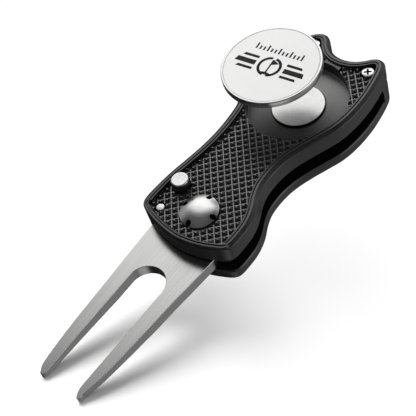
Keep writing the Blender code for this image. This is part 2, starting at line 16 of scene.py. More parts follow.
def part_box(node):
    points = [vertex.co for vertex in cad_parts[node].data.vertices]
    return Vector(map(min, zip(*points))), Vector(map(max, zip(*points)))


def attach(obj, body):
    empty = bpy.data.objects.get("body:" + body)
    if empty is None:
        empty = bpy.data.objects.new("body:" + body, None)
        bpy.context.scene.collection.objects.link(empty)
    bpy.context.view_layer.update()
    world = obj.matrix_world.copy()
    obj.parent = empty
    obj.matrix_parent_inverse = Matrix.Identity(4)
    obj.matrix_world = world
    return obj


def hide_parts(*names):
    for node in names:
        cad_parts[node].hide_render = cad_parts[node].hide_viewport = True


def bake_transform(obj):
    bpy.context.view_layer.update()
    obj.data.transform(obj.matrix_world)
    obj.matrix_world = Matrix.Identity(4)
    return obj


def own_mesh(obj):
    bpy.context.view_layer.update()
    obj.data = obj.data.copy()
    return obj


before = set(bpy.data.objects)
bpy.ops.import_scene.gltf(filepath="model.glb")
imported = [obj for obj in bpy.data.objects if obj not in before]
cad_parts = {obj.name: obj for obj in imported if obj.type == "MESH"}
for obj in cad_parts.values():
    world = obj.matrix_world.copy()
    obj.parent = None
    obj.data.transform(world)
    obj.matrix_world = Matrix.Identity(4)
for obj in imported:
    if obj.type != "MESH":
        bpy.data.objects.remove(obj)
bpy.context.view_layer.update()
scene = bpy.context.scene
MM = 0.001


# ------------------------------------------------------------ sizes from the CAD
def box_mm(name):
    low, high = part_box(name)
    return low / MM, high / MM


def axis_of(name):
    low, high = box_mm(name)
    return ((low.x + high.x) / 2, (low.y + high.y) / 2)


def radius_of(name):
    low, high = box_mm(name)
    return (high.x - low.x) / 2


front_low, front_high = box_mm("front_body")
fork_low, fork_high = box_mm("fork")
magnet_low, magnet_high = box_mm("magnet")
marker_low, marker_high = box_mm("ball_marker")
pad_low, pad_high = box_mm("grip_front")
button_low, button_high = box_mm("release_button")
crown_low, crown_high = box_mm("button_cap")
stop_low, stop_high = box_mm("stop_pin")

PIVOT = (0.0, 0.0)
RECESS = axis_of("magnet")
BUTTON = axis_of("release_button")
STOP = axis_of("stop_pin")
SCREWS = {side: axis_of(f"rear_screw_{side}") for side in ("left", "right")}
MARKER = axis_of("ball_marker")

MAGNET_R = radius_of("magnet")
MARKER_R = radius_of("ball_marker")
CAP_R = radius_of("pivot_cap")
BUTTON_R = radius_of("button_cap")
STOP_R = radius_of("stop_pin")

FRONT_BOTTOM, FRONT_TOP = front_low.z, front_high.z
BACK_TOP, SPINE_TOP = 3.2, box_mm("back_body")[1].z
FORK_BOTTOM, FORK_TOP = fork_low.z, fork_high.z
RECESS_R, RECESS_FLOOR = 13.05, magnet_high.z - 0.6
PAD_BOTTOM, PAD_TOP = pad_low.z, pad_high.z
GROOVE = PAD_TOP - 0.62  # floor of the knurl
LEDGE, SEAT = PAD_TOP - 0.08, PAD_BOTTOM - 0.15
RIM_BEVEL, RIM_DROP = 0.95, 0.7
# The pads stand INSET inside the handle's outline, less EASE at the fork end.
INSET, EASE = 2.4, 0.8

# ------------------------------------------------------------- the design's plans
# Stations (x, y), measured from a datum on the handle's centreline. The handle's
# outline runs counter-clockwise seen from the front.
OUTLINE = [
    (-8.6, 0.0), (-8.35, -3.4), (-7.65, -6.9), (-6.6, -9.9), (-5.5, -12.3),
    (-4.5, -13.4), (-3.2, -13.85), (-0.8, -13.95), (2.5, -13.8), (5.3, -13.2),
    (7.9, -12.2), (10.6, -10.8), (13.5, -9.75), (17.0, -9.35), (20.5, -9.5),
    (24.0, -10.2), (28.0, -11.6), (32.0, -13.3), (36.5, -15.1), (41.5, -16.0),
    (47.5, -16.1), (52.0, -15.6), (55.5, -14.95), (58.0, -14.2), (59.7, -12.9),
    (60.2, -11.1), (59.5, -9.4), (58.1, -7.85), (56.7, -5.6), (56.1, -2.7),
    (56.6, 0.3), (58.0, 2.3), (60.1, 4.0), (61.2, 5.8), (60.95, 7.8),
    (59.3, 9.8), (56.1, 11.9), (51.7, 14.3), (46.6, 16.0), (41.0, 16.3),
    (36.0, 14.6), (31.6, 12.5), (26.4, 11.7), (21.0, 11.5), (16.0, 11.85),
    (11.0, 12.6), (6.0, 13.4), (1.5, 13.8), (-1.8, 13.9), (-3.6, 13.7),
    (-4.8, 13.0), (-5.7, 11.7), (-7.0, 8.6), (-8.0, 4.6),
]
# The fork's outer edges and the sides of its slot run from the handle to the tips.
FORK_RIGHT = [(-6.6, -9.2), (-14.6, -8.65), (-21.2, -8.15), (-28.0, -7.82),
              (-34.0, -7.52), (-38.0, -7.28), (-42.0, -7.02), (-45.0, -6.75),
              (-47.0, -6.48), (-48.6, -6.2), (-49.6, -5.98)]
FORK_LEFT = [(-6.8, 10.72), (-11.4, 10.5), (-19.0, 10.05), (-26.9, 9.55),
             (-34.4, 9.15), (-39.0, 8.8), (-43.0, 8.42), (-46.5, 8.02),
             (-48.2, 7.76), (-49.2, 7.5), (-50.1, 7.02)]
SLOT_RIGHT = [(-30.0, -4.08), (-38.0, -4.16), (-46.0, -4.14), (-48.6, -4.22),
              (-49.6, -4.5), (-50.3, -4.85)]
SLOT_LEFT = [(-30.0, 5.68), (-38.0, 5.58), (-46.0, 5.42), (-49.2, 5.36)]


# ------------------------------------------------------------------ plan curves
def through(stations, per_span, closed=True):
    """Centripetal Catmull-Rom curve through the stations."""
    count = len(stations)
    points = [Vector(station) for station in stations]
    curve = []
    for i in range(count if closed else count - 1):
        start, end = points[i], points[(i + 1) % count]
        before = points[i - 1] if closed or i else start * 2 - end
        after = points[(i + 2) % count] if closed or i + 2 < count else end * 2 - start
        t_start = (start - before).length ** 0.5
        t_end = t_start + (end - start).length ** 0.5
        t_after = t_end + (after - end).length ** 0.5
        for k in range(per_span):
            t = t_start + (t_end - t_start) * k / per_span
            lead = before.lerp(start, t / t_start)
            span = start.lerp(end, (t - t_start) / (t_end - t_start))
            trail = end.lerp(after, (t - t_end) / (t_after - t_end))
            early = lead.lerp(span, t / t_end)
            late = span.lerp(trail, (t - t_start) / (t_after - t_start))
            curve.append(early.lerp(late, (t - t_start) / (t_end - t_start)))
    if not closed:
        curve.append(points[-1])
    return curve


def evenly(points, step, closed=True):
    """The same curve with its points about `step` apart."""
    line = points + points[:1] if closed else points
    lengths = [(end - start).length for start, end in zip(line, line[1:])]
    total = sum(lengths)
    count = max(2, round(total / step))
    spaced, i, run = [], 0, 0.0
    for k in range(count if closed else count + 1):
        want = min(total * k / count, total - 1e-9)
        while run + lengths[i] < want:
            run += lengths[i]
            i += 1
        spaced.append(line[i].lerp(line[i + 1], (want - run) / lengths[i]))
    return spaced


def inward(ring):
    """Normals that point into a counter-clockwise ring."""
    count = len(ring)
    normals = []
    for i in range(count):
        along = (ring[(i + 1) % count] - ring[i - 1]).normalized()
        normals.append(Vector((-along.y, along.x)))
    return normals


def gap_to(point, ring):
    """Distance from a point to the nearest side of the ring."""
    best = 1e9
    for start, end in zip(ring, ring[1:] + ring[:1]):
        side = end - start
        if side.length_squared < 1e-12:
            continue
        t = max(0.0, min(1.0, (point - start).dot(side) / side.length_squared))
        best = min(best, (point - start - side * t).length)
    return best


def cross(first, second):
    return first.x * second.y - first.y * second.x


def crossing(start, end, other_start, other_end):
    """Where two segments cross, or None."""
    along, other, between = end - start, other_end - other_start, other_start - start
    area = cross(along, other)
    if abs(area) < 1e-12:
        return None
    t = cross(between, other) / area
    u = cross(between, along) / area
    return start + along * t if 0 <= t <= 1 and 0 <= u <= 1 else None


def fork_end_share(normal):
    """How far a wall with this inward normal belongs to the fork end, 0 to 1."""
    t = max(0.0, min(1.0, (normal.x - 0.3) / 0.5))
    return t * t * (3 - 2 * t)


def inset(ring, distance, ease=0.0):
    """The line a given distance inside a counter-clockwise ring, less ease round
    the fork end, with the loops that form at tight corners cut off."""
    line = [
        point + normal * (distance - ease * fork_end_share(normal))
        for point, normal in zip(ring, inward(ring))
    ]
    i = 0
    while i < len(line) - 2:
        for j in range(min(i + 60, len(line) - 2), i + 1, -1):
            met = crossing(line[i], line[i + 1], line[j], line[j + 1])
            if met is not None:
                line[i + 1 : j + 1] = [met]
                break
        i += 1
    tidy = []
    for point in line:
        if not tidy or (point - tidy[-1]).length > 0.02:
            tidy.append(point)
    return tidy


def turn_about(centre, radius, start, end, steps):
    """(x, y) pairs from one angle in degrees to another."""
    angles = (math.radians(start + (end - start) * k / steps) for k in range(steps + 1))
    return [
        (centre[0] + radius * math.cos(angle), centre[1] + radius * math.sin(angle))
        for angle in angles
    ]


def arc(centre, radius, start, end, steps):
    return [Vector(pair) for pair in turn_about(centre, radius, start, end, steps)]


def box_ring(x0, y0, x1, y1):
    return [Vector(corner) for corner in ((x0, y0), (x1, y0), (x1, y1), (x0, y1))]


def grown(box, margin):
    (x0, y0), (x1, y1) = box[0], box[2]
    return box_ring(x0 - margin, y0 - margin, x1 + margin, y1 + margin)


# ----------------------------------------------------------------- solid makers
def loft(ring, profile, rise=None, narrow=0.0):
    """A closed solid: one row of points for each (inset, z) of the profile, from
    the bottom up. A third entry is the share of rise(x) that lifts the row. narrow
    is the share by which the insets shrink round the fork end."""
    solid = bmesh.new()
    rows = []
    normals = inward(ring)
    for offset, z, *share in profile:
        rows.append(
            [
                solid.verts.new(
                    (
                        point.x + normal.x * offset * (1 - narrow * fork_end_share(normal)),
                        point.y + normal.y * offset * (1 - narrow * fork_end_share(normal)),
                        z + (rise(point.x) * share[0] if share else 0.0),
                    )
                )
                for point, normal in zip(ring, normals)
            ]
        )
    bridge(solid, rows)
    return solid


def bridge(solid, rows):
    """Joins equal rows of points in order and closes both ends."""
    count = len(rows[0])
    for lower, upper in zip(rows, rows[1:]):
        for i in range(count):
            j = (i + 1) % count
            solid.faces.new((lower[i], lower[j], upper[j], upper[i]))
    solid.faces.new(list(reversed(rows[0])))
    solid.faces.new(rows[-1])


def lathe(profile, centre, sides):
    """Profile points (radius, z) spun round a vertical axis. It closes on itself
    if it doesn't start and end on the axis."""
    solid = bmesh.new()
    rows = []
    for radius, z in profile:
        if radius < 1e-9:
            rows.append([solid.verts.new((centre[0], centre[1], z))])
            continue
        row = []
        for k in range(sides):
            angle = 2 * math.pi * k / sides
            x = centre[0] + radius * math.cos(angle)
            y = centre[1] + radius * math.sin(angle)
            row.append(solid.verts.new((x, y, z)))
        rows.append(row)
    pairs = list(zip(rows, rows[1:]))
    if len(rows[0]) > 1 and len(rows[-1]) > 1:
        pairs.append((rows[-1], rows[0]))
    for row, following in pairs:
        for k in range(sides):
            m = (k + 1) % sides
            if len(row) == 1:
                solid.faces.new((row[0], following[m], following[k]))
            elif len(following) == 1:
                solid.faces.new((row[k], row[m], following[0]))
            else:
                solid.faces.new((row[k], row[m], following[m], following[k]))
    return solid


# Profile points (radius, z) on a round: the same sum as a plan arc.
fillet = turn_about


def drum(centre, radius, z0, z1, sides=48):
    return lathe([(0.0, z1), (radius, z1), (radius, z0), (0.0, z0)], centre, sides)


def prism(ring, z0, z1):
    return loft(ring, [(0.0, z0), (0.0, z1)])


def temp(solid):
    bmesh.ops.recalc_face_normals(solid, faces=solid.faces)
    mesh = bpy.data.meshes.new("temp")
    solid.to_mesh(mesh)
    solid.free()
    obj = bpy.data.objects.new("temp", mesh)
    scene.collection.objects.link(obj)
    return obj


def carve(solid, *steps):
    """Runs exact Booleans on a bmesh and returns a new one. Each step is a bmesh
    to cut away, or a pair (operation, bmesh)."""
    target = temp(solid)
    tools = []
    for step in steps:
        operation, tool = step if isinstance(step, tuple) else ("DIFFERENCE", step)
        other = temp(tool)
        tools.append(other)
        modifier = target.modifiers.new("b", "BOOLEAN")
        modifier.operation = operation
        modifier.solver = "EXACT"
        modifier.object = other
    bpy.context.view_layer.update()
    graph = bpy.context.evaluated_depsgraph_get()
    done = bpy.data.meshes.new_from_object(target.evaluated_get(graph))
    carved = bmesh.new()
    carved.from_mesh(done)
    for obj in [target, *tools]:
        mesh = obj.data
        bpy.data.objects.remove(obj)
        bpy.data.meshes.remove(mesh)
    bpy.data.meshes.remove(done)
    bmesh.ops.remove_doubles(carved, verts=carved.verts, dist=0.0005)
    bmesh.ops.dissolve_degenerate(carved, edges=carved.edges, dist=0.0004)
    return carved


# ------------------------------------------------------------------ shown pieces
def shown(name, solid, finish, sharp, second=None):
    """Links a bmesh in millimetres as an object in metres. second is (material,
    test of a face's centre and normal) for the faces with another finish."""
    bmesh.ops.recalc_face_normals(solid, faces=solid.faces)
    mesh = bpy.data.meshes.new(name)
    if second:
        for face in solid.faces:
            if second[1](face.calc_center_median(), face.normal):
                face.material_index = 1
    bmesh.ops.transform(solid, matrix=Matrix.Scale(MM, 4), verts=solid.verts)
    solid.to_mesh(mesh)
    solid.free()
    mesh.materials.append(finish)
    if second:
        mesh.materials.append(second[0])
    mesh.shade_smooth()
    mesh.set_sharp_from_angle(angle=math.radians(sharp))
    obj = bpy.data.objects.new(name, mesh)
    scene.collection.objects.link(obj)
    return obj


def piece(name, solid, finish, body, stands_for=None, sharp=30.0, second=None,
          weighted=True):
    """A rigid piece that rides on one of the frame's bodies."""
    obj = shown(name, solid, finish, sharp, second)
    if weighted:
        flat = obj.modifiers.new("flat faces", "WEIGHTED_NORMAL")
        flat.mode = "FACE_AREA_WITH_ANGLE"
        flat.weight = 90
        flat.keep_sharp = True
    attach(obj, body)
    if stands_for:
        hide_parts(stands_for)


def spring_piece(name, solid, stands_for):
    obj = shown(name, solid, wire, sharp=60)
    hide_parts(stands_for)
    return obj


# -------------------------------------------------------------------- node trees
class Nodes:
    """Short ways to add nodes to a tree."""

    def __init__(self, tree):
        self.tree = tree

    def feed(self, node, inputs):
        """Links each input that is given a socket, and sets the others."""
        for key, value in inputs.items():
            if isinstance(value, bpy.types.NodeSocket):
                self.tree.links.new(value, node.inputs[key])
            else:
                node.inputs[key].default_value = value

    def node(self, kind, inputs=None, **settings):
        made = self.tree.nodes.new("ShaderNode" + kind)
        for key, value in settings.items():
            setattr(made, key, value)
        self.feed(made, inputs or {})
        return made

    def ramp(self, value, to, span=(0.3, 0.7), **settings):
        """Maps the span of a value to the range `to`."""
        inputs = {"From Min": span[0], "From Max": span[1],
                  "To Min": to[0], "To Max": to[1], "Value": value}
        return self.node("MapRange", inputs, **settings).outputs["Result"]

    def vector_math(self, operation, *values):
        return self.node("VectorMath", dict(enumerate(values)), operation=operation)

    def math(self, operation, *values):
        return self.node("Math", dict(enumerate(values)), operation=operation).outputs[0]


class Look(Nodes):
    """A material with one Principled shader. Textures lie in object space, in
    metres."""

    def __init__(self, name):
        self.material = bpy.data.materials.new(name)
        self.material.use_nodes = True
        super().__init__(self.material.node_tree)
        self.shader = self.tree.nodes["Principled BSDF"]

    def shade(self, inputs):
        self.feed(self.shader, inputs)

    def noise(self, scale, stretch=(1, 1, 1), detail=3.0, rough=0.55):
        made = self.node("TexNoise", {"Scale": scale, "Detail": detail, "Roughness": rough})
        place = self.node("TexCoord").outputs["Object"]
        mapping = self.node("Mapping", {"Scale": stretch, "Vector": place})
        self.feed(made, {"Vector": mapping.outputs["Vector"]})
        return made.outputs["Fac"]

    def colour(self, share, dark, light):
        mix = self.node("Mix", {6: (*dark, 1), 7: (*light, 1), 0: share}, data_type="RGBA")
        self.shade({"Base Color": mix.outputs[2]})

    def bump(self, height, strength, distance):
        made = self.node(
            "Bump", {"Strength": strength, "Distance": distance, "Height": height})
        self.shade({"Normal": made.outputs["Normal"]})

    def from_axis(self, centre):
        """Position measured from a vertical axis at `centre`, in millimetres."""
        place = self.node("TexCoord").outputs["Object"]
        origin = (centre[0] * MM, centre[1] * MM, 0.0)
        return self.vector_math("SUBTRACT", place, origin).outputs[0]

    def tangent(self, along):
        """Lays the anisotropic sheen along a direction in object space."""
        turned = self.node("VectorTransform", {0: along}, vector_type="VECTOR",
                           convert_from="OBJECT", convert_to="WORLD")
        self.shade({"Tangent": turned.outputs[0]})


# -------------------------------------------------------------------- materials
def grey(value):
    return (value, value, value)


def darker(colour, share):
    return tuple(channel * share for channel in colour)


def painted(name, dark, light, rough, shine=0.5):
    """Faintly mottled paint with a fine grain. rough is its range of roughness."""
    look = Look(name)
    mottle = look.ramp(look.noise(scale=350.0), to=(0.0, 1.0), span=(0.35, 0.65))
    look.colour(mottle, dark, light)
    look.shade({"Roughness": look.ramp(look.noise(scale=900.0, detail=4.0), to=rough)})
    look.bump(look.noise(scale=6500.0, detail=2.0), strength=0.12, distance=0.00002)
    look.shade({"Coat Roughness": 0.3, "Specular IOR Level": shine})
    return look.material


def brushed(name, dark, light, rough, along, strength=0.25, aniso=0.5):
    """Metal with fine lines along one axis of the piece."""
    look = Look(name)
    across_scale, along_scale = 3200.0, 45.0
    stretch = tuple(along_scale if axis == along else across_scale for axis in "XYZ")
    lines = look.noise(scale=1.0, stretch=stretch, detail=3.0, rough=0.6)
    cloud = look.noise(scale=120.0, detail=2.0)
    look.colour(look.ramp(lines, to=(0.0, 1.0)), dark, light)
    look.shade({"Metallic": 1.0, "Anisotropic": aniso,
                "Roughness": look.ramp(cloud, to=rough)})
    look.tangent(tuple(1.0 if axis == along else 0.0 for axis in "XYZ"))
    look.bump(lines, strength=strength, distance=0.000006)
    return look.material


def polished(name, colour, rough, scuffs=0.05):
    look = Look(name)
    cloud = look.noise(scale=260.0, detail=4.0)
    look.colour(look.ramp(cloud, to=(0.0, 1.0)), darker(colour, 0.9), colour)
    haze = look.noise(scale=1500.0, detail=5.0)
    look.shade({"Metallic": 1.0, "Roughness": look.ramp(haze, to=(rough, rough + 0.08))})
    look.bump(look.noise(scale=4200.0, detail=2.0), strength=scuffs, distance=0.000008)
    return look.material


def turned_metal(name, colour, rough, centre, aniso):
    """Metal faced on a lathe: fine rings about `centre` (mm)."""
    look = Look(name)
    flat = look.vector_math("MULTIPLY", look.from_axis(centre), (1.0, 1.0, 0.0)).outputs[0]
    reach = look.vector_math("LENGTH", flat).outputs["Value"]
    rings = look.node("TexNoise", noise_dimensions="1D")
    look.feed(rings, {"Scale": 9000.0, "Detail": 3.0, "W": reach})
    rings = rings.outputs["Fac"]
    look.colour(look.ramp(rings, to=(0.0, 1.0)), darker(colour, 0.86), colour)
    around = look.vector_math("CROSS_PRODUCT", flat, (0.0, 0.0, 1.0)).outputs[0]
    look.tangent(look.vector_math("NORMALIZE", around).outputs[0])
    look.shade({"Metallic": 1.0, "Anisotropic": aniso,
                "Roughness": look.ramp(rings, to=(rough - 0.04, rough + 0.05))})
    look.bump(rings, strength=0.2, distance=0.000004)
    return look.material


def painted_recess_sheen(name, painted_sheen_turn):
    """Satin black whose base colour carries a painted sheen on one side of the recess's centre
    and painted shade on the other, over a real fine grain. painted_sheen_turn (degrees) sets
    which way the painted bright side lies."""
    look = Look(name)
    split = look.node("SeparateXYZ", {0: look.from_axis(RECESS)}).outputs
    angle = look.math("ARCTAN2", split["Y"], split["X"])
    wave = look.math("COSINE", look.math("ADD", angle, math.radians(painted_sheen_turn)))
    grain = look.noise(scale=2600.0, detail=4.0)
    grain_share = 0.22
    # Painted sheen and painted shade: the base colour brightens on one side of the recess and
    # darkens on the other.
    sheen = look.ramp(wave, to=(0.0, 0.89), span=(-0.95, 0.85))
    look.colour(look.math("MULTIPLY_ADD", grain, grain_share, sheen),
                dark=grey(0.009), light=(0.19, 0.19, 0.188))
    look.shade({"Metallic": 0.85, "Roughness": look.ramp(grain, to=(0.38, 0.46))})
    look.bump(look.noise(scale=7000.0, detail=3.0), strength=0.15, distance=0.00002)
    return look.material


def enamel(name):
    look = Look(name)
    look.colour(look.ramp(look.noise(scale=180.0), to=(0.0, 1.0)),
                dark=(0.67, 0.67, 0.665), light=(0.69, 0.69, 0.685))
    haze = look.noise(scale=2600.0, detail=4.0)
    look.shade({"Roughness": look.ramp(haze, to=(0.34, 0.4))})
    look.bump(look.noise(scale=5200.0, detail=2.0), strength=0.02, distance=0.00001)
    look.shade({"Coat Weight": 0.1, "Coat Roughness": 0.2})
    return look.material


black_paint = painted("black_paint", dark=grey(0.0045), light=grey(0.008),
                      rough=(0.3, 0.38), shine=1.0)
# A darker, duller copy of the black paint for inside the fork's slot: painted shade.
slot_painted_shade = painted("slot_painted_shade", dark=grey(0.003), light=grey(0.005),
                     rough=(0.6, 0.7), shine=0.2)
grip_black = painted("grip_black", dark=grey(0.005), light=grey(0.009),
                     rough=(0.3, 0.38), shine=0.9)
# The grooves between the pyramids and the pyramids' flat tops, the faces that look up, are
# painted paler: a painted highlight where the light falls.
grip_painted_highlight = painted("grip_painted_highlight", dark=(0.045, 0.045, 0.044),
                      light=(0.075, 0.075, 0.073), rough=(0.3, 0.38), shine=1.6)
recess_painted_sheen = painted_recess_sheen("recess_painted_sheen", painted_sheen_turn=-20.0)
fork_steel = brushed("fork_steel", dark=(0.54, 0.54, 0.535), light=(0.60, 0.60, 0.595),
                     rough=(0.21, 0.25), along="X", strength=0.05, aniso=0.3)
plain_steel = brushed("plain_steel", dark=grey(0.42), light=grey(0.55),
                      rough=(0.3, 0.38), along="Z")
chrome = polished("chrome", colour=(0.68, 0.68, 0.675), rough=0.27, scuffs=0.02)
bead = polished("bead", colour=grey(0.66), rough=0.24, scuffs=0.015)
screw_steel = polished("screw_steel", colour=grey(0.84), rough=0.25, scuffs=0.02)
magnet_face = polished("magnet_face", colour=(0.54, 0.54, 0.535), rough=0.17, scuffs=0.03)
# Near-black paint put in holes, slots and on the button's side as painted shade.
painted_shade_black = painted("painted_shade_black", dark=grey(0.004), light=grey(0.007),
                         rough=(0.5, 0.6), shine=0.3)
wire = brushed("wire", dark=(0.36, 0.36, 0.37), light=(0.48, 0.48, 0.49),
               rough=(0.28, 0.36), along="Z")
bronze = polished("bronze", colour=(0.50, 0.33, 0.16), rough=0.34)
polymer = painted("polymer", dark=(0.50, 0.48, 0.42), light=(0.56, 0.54, 0.48),
                  rough=(0.45, 0.55))
marker_edge = turned_metal("marker_edge", colour=grey(0.68), rough=0.2, centre=MARKER,
                           aniso=0.3)
marker_back = painted("marker_back", dark=grey(0.62), light=grey(0.70), rough=(0.4, 0.5))
ink = painted("ink", dark=grey(0.006), light=grey(0.012), rough=(0.4, 0.5), shine=0.12)
marker_enamel = enamel("marker_enamel")

# -------------------------------------------------------------------- the plans
plan = evenly(through(OUTLINE, 14), 0.34)
# Where the design's datum lies from the pivot.
datum = Vector((front_low.x - min(point.x for point in plan),
                front_low.y - min(point.y for point in plan)))
plan = [point + datum for point in plan]
pad_ring = inset(plan, INSET, EASE)
seat_ring = inset(plan, INSET - 0.07, EASE)
ledge_ring = inset(plan, INSET - 0.17, EASE)
knurl_ring = inset(plan, INSET + 0.12, EASE)
wall_ring = inset(plan, 2.6)


def placed(points):
    return [Vector(point) + datum for point in points]


# Boxes in plan that divide the grip into pads.
PADS = {
    "front": box_ring(-40.0, -30.0, 31.6, 30.0),
    "rear_right": box_ring(43.4, -30.0, 90.0, -3.6),
    "rear_left": box_ring(45.0, 1.6, 90.0, 30.0),
}

# ----------------------------------------------------------------- front housing
# Here and below, cutters run past the part they cut.
STOP_BORE_R = 0.96
pocket = loft(ledge_ring, [(0.0, LEDGE), (0.0, FRONT_TOP - 0.12),
                           (-0.12, FRONT_TOP), (-0.3, FRONT_TOP + 0.2),
                           (-0.3, FRONT_TOP + 2)])
recess = lathe(
    [(0.0, FRONT_TOP + 2), (RECESS_R + 0.3, FRONT_TOP + 2),
     (RECESS_R + 0.3, LEDGE + 0.3), (RECESS_R + 0.08, LEDGE - 0.02),
     (RECESS_R, LEDGE - 0.1)]
    + fillet((RECESS_R - 0.35, RECESS_FLOOR + 0.35), 0.35, 0, -90, 4)
    + [(0.0, RECESS_FLOOR)],
    RECESS, 160,
)
# A fine groove runs round the rim, and leaves a bead beside the grip.
rim_groove = carve(
    loft(inset(plan, RIM_BEVEL + 0.55, EASE),
         [(0.1, FRONT_TOP - 0.34), (0.0, FRONT_TOP - 0.28), (0.0, FRONT_TOP - 0.05),
          (-0.06, FRONT_TOP + 0.02), (-0.06, FRONT_TOP + 1.2)]),
    loft(inset(plan, RIM_BEVEL + 0.84, EASE),
         [(0.0, FRONT_TOP - 0.6), (0.0, FRONT_TOP - 0.12), (0.07, FRONT_TOP - 0.04),
          (0.07, FRONT_TOP + 1.5)]),
)
pad_seats = [
    carve(
        prism(seat_ring, SEAT, FRONT_TOP + 1.5),
        ("INTERSECT", prism(grown(region, 0.1), 9.8, 15.0)),
        drum(RECESS, RECESS_R + 0.45, 9.0, GROOVE - 0.12, 160),
    )
    for region in PADS.values()
]
front_bores = [
    drum(RECESS, MAGNET_R + 0.25, magnet_low.z - 0.1, 10.0, 96),
    drum(PIVOT, 2.35, 6.0, 14.0),
    # Chamber of the opening spring, and a slot for the upper leg's end.
    drum(PIVOT, 5.2, 6.0, 9.4, 64),
    prism(box_ring(-4.5, -5.4, -3.8, -2.0), 6.1, 9.35),
    drum(BUTTON, 2.37, 6.0, 14.0),
    drum(BUTTON, 3.2, 6.2, 9.5),
    drum(STOP, STOP_BORE_R, 6.0, 14.0, 32),
]
for centre in SCREWS.values():
    front_bores += [
        drum(centre, 1.1, 6.0, 14.0, 32),
        lathe([(0.0, 14.2), (2.4, 14.2), (2.4, FRONT_TOP + 0.5), (1.82, FRONT_TOP + 0.1),
               (1.72, FRONT_TOP - 0.1), (1.72, 10.25), (0.0, 10.25)], centre, 48),
    ]
front_block = loft(
    plan,
    [(0.55, FRONT_BOTTOM), (0.3, FRONT_BOTTOM + 0.08), (0.12, FRONT_BOTTOM + 0.27),
     (0.03, FRONT_BOTTOM + 0.52), (0.0, FRONT_BOTTOM + 0.8),
     (0.0, FRONT_TOP - RIM_DROP - 0.22), (0.03, FRONT_TOP - RIM_DROP - 0.1),
     (0.1, FRONT_TOP - RIM_DROP), (0.2, FRONT_TOP - RIM_DROP + 0.09),
     (RIM_BEVEL - 0.1, FRONT_TOP - 0.08), (RIM_BEVEL, FRONT_TOP - 0.02),
     (RIM_BEVEL + 0.1, FRONT_TOP)],
    narrow=0.7,
)


def on_recess_floor(centre, normal):
    return (
        normal.z > 0.5
        and RECESS_FLOOR - 0.05 < centre.z < RECESS_FLOOR + 0.3
        and (centre.xy - Vector(RECESS)).length < RECESS_R
    )


# The recess floor takes the painted sheen and painted shade.
piece("front_shell",
      carve(front_block, pocket, recess, rim_groove, *pad_seats, *front_bores),
      black_paint, "handle", "front_body",
      second=(recess_painted_sheen, on_recess_floor))

# --------------------------------------------------------------------- grip pads
# Groove lines of the diamond knurl lie where u and t are whole numbers:
# u = ROW_U . (x, y) + DATUM_U, and t likewise, about the knurl's own origin.
ROW_U, ROW_T = (0.39866, -0.45227), (-0.43525, -0.43032)
DATUM_U, DATUM_T = -3.22592, 8.13905
KNURL_ORIGIN = datum + Vector((-0.30, -0.43))
FRONT_PHASE, REAR_PHASE = (0.0, 0.0), (-0.279, 0.933)
KNURL_TOP = PAD_TOP + 0.02
# Half of a groove and the pyramid's flat top, as shares of the pitch.
HALF_GROOVE, FLAT_TOP = 0.062, 0.17
KNURL_BASE = 0.3


def knurl(outline, phase):
    """Sheet of square pyramids over the outline's box, with flat grooves between
    them and small flat tops, closed by sides and a floor."""
    low = [min(point[k] for point in outline) for k in (0, 1)]
    high = [max(point[k] for point in outline) for k in (0, 1)]
    determinant = ROW_U[0] * ROW_T[1] - ROW_U[1] * ROW_T[0]

    def to_plan(u, t):
        along_u = u - DATUM_U + phase[0]
        along_t = t - DATUM_T + phase[1]
        x = (along_u * ROW_T[1] - along_t * ROW_U[1]) / determinant
        y = (ROW_U[0] * along_t - ROW_T[0] * along_u) / determinant
        return Vector((x, y)) + KNURL_ORIGIN

    corners_u, corners_t = [], []
    for x in (low[0], high[0]):
        for y in (low[1], high[1]):
            local = Vector((x, y)) - KNURL_ORIGIN
            corners_u.append(
                ROW_U[0] * local.x + ROW_U[1] * local.y + DATUM_U - phase[0])
            corners_t.append(
                ROW_T[0] * local.x + ROW_T[1] * local.y + DATUM_T - phase[1])
    sheet = bmesh.new()
    grid = {}

    def square(u, t, margin, z):
        """Vertices of a lattice cell's square, drawn in by margin."""
        corners = []
        for corner_u, corner_t in ((u + margin, t + margin), (u + 1 - margin, t + margin),
                                   (u + 1 - margin, t + 1 - margin),
                                   (u + margin, t + 1 - margin)):
            key = (round(corner_u, 4), round(corner_t, 4), round(z, 3))
            if key not in grid:
                grid[key] = sheet.verts.new((*to_plan(corner_u, corner_t), z))
            corners.append(grid[key])
        return corners

    def near(u, t):
        middle = to_plan(u + 0.5, t + 0.5)
        return all(low[k] - 1.8 < middle[k] < high[k] + 1.8 for k in (0, 1))

    for u in range(math.floor(min(corners_u)) - 1, math.ceil(max(corners_u)) + 1):
        for t in range(math.floor(min(corners_t)) - 1, math.ceil(max(corners_t)) + 1):
            if not near(u, t):
                continue
            foot = square(u, t, HALF_GROOVE, GROOVE)
            top = square(u, t, 0.5 - FLAT_TOP / 2, KNURL_TOP)
            cell = square(u, t, 0, GROOVE)
            sheet.faces.new(top)
            for k in range(4):
                m = (k + 1) % 4
                sheet.faces.new((foot[k], foot[m], top[m], top[k]))
                sheet.faces.new((cell[k], cell[m], foot[m], foot[k]))
    bmesh.ops.remove_doubles(sheet, verts=sheet.verts, dist=0.0005)
    # Sides and floor, from the sheet's open border.
    border = [edge for edge in sheet.edges if edge.is_boundary]
    for item in bmesh.ops.extrude_edge_only(sheet, edges=border)["geom"]:
        if isinstance(item, bmesh.types.BMVert):
            item.co.z = GROOVE - KNURL_BASE
    border = [edge for edge in sheet.edges if edge.is_boundary]
    bmesh.ops.holes_fill(sheet, edges=border, sides=0)
    bmesh.ops.recalc_face_normals(sheet, faces=sheet.faces)
    return sheet


def front_pad_holes(z0, z1, extra=0.0):
    return [
        drum(PIVOT, CAP_R + 0.25 + extra, z0, z1, 72),
        drum(BUTTON, 2.45 + extra, z0, z1, 48),
        drum(STOP, 1.45 + extra, z0, z1, 40),
    ]


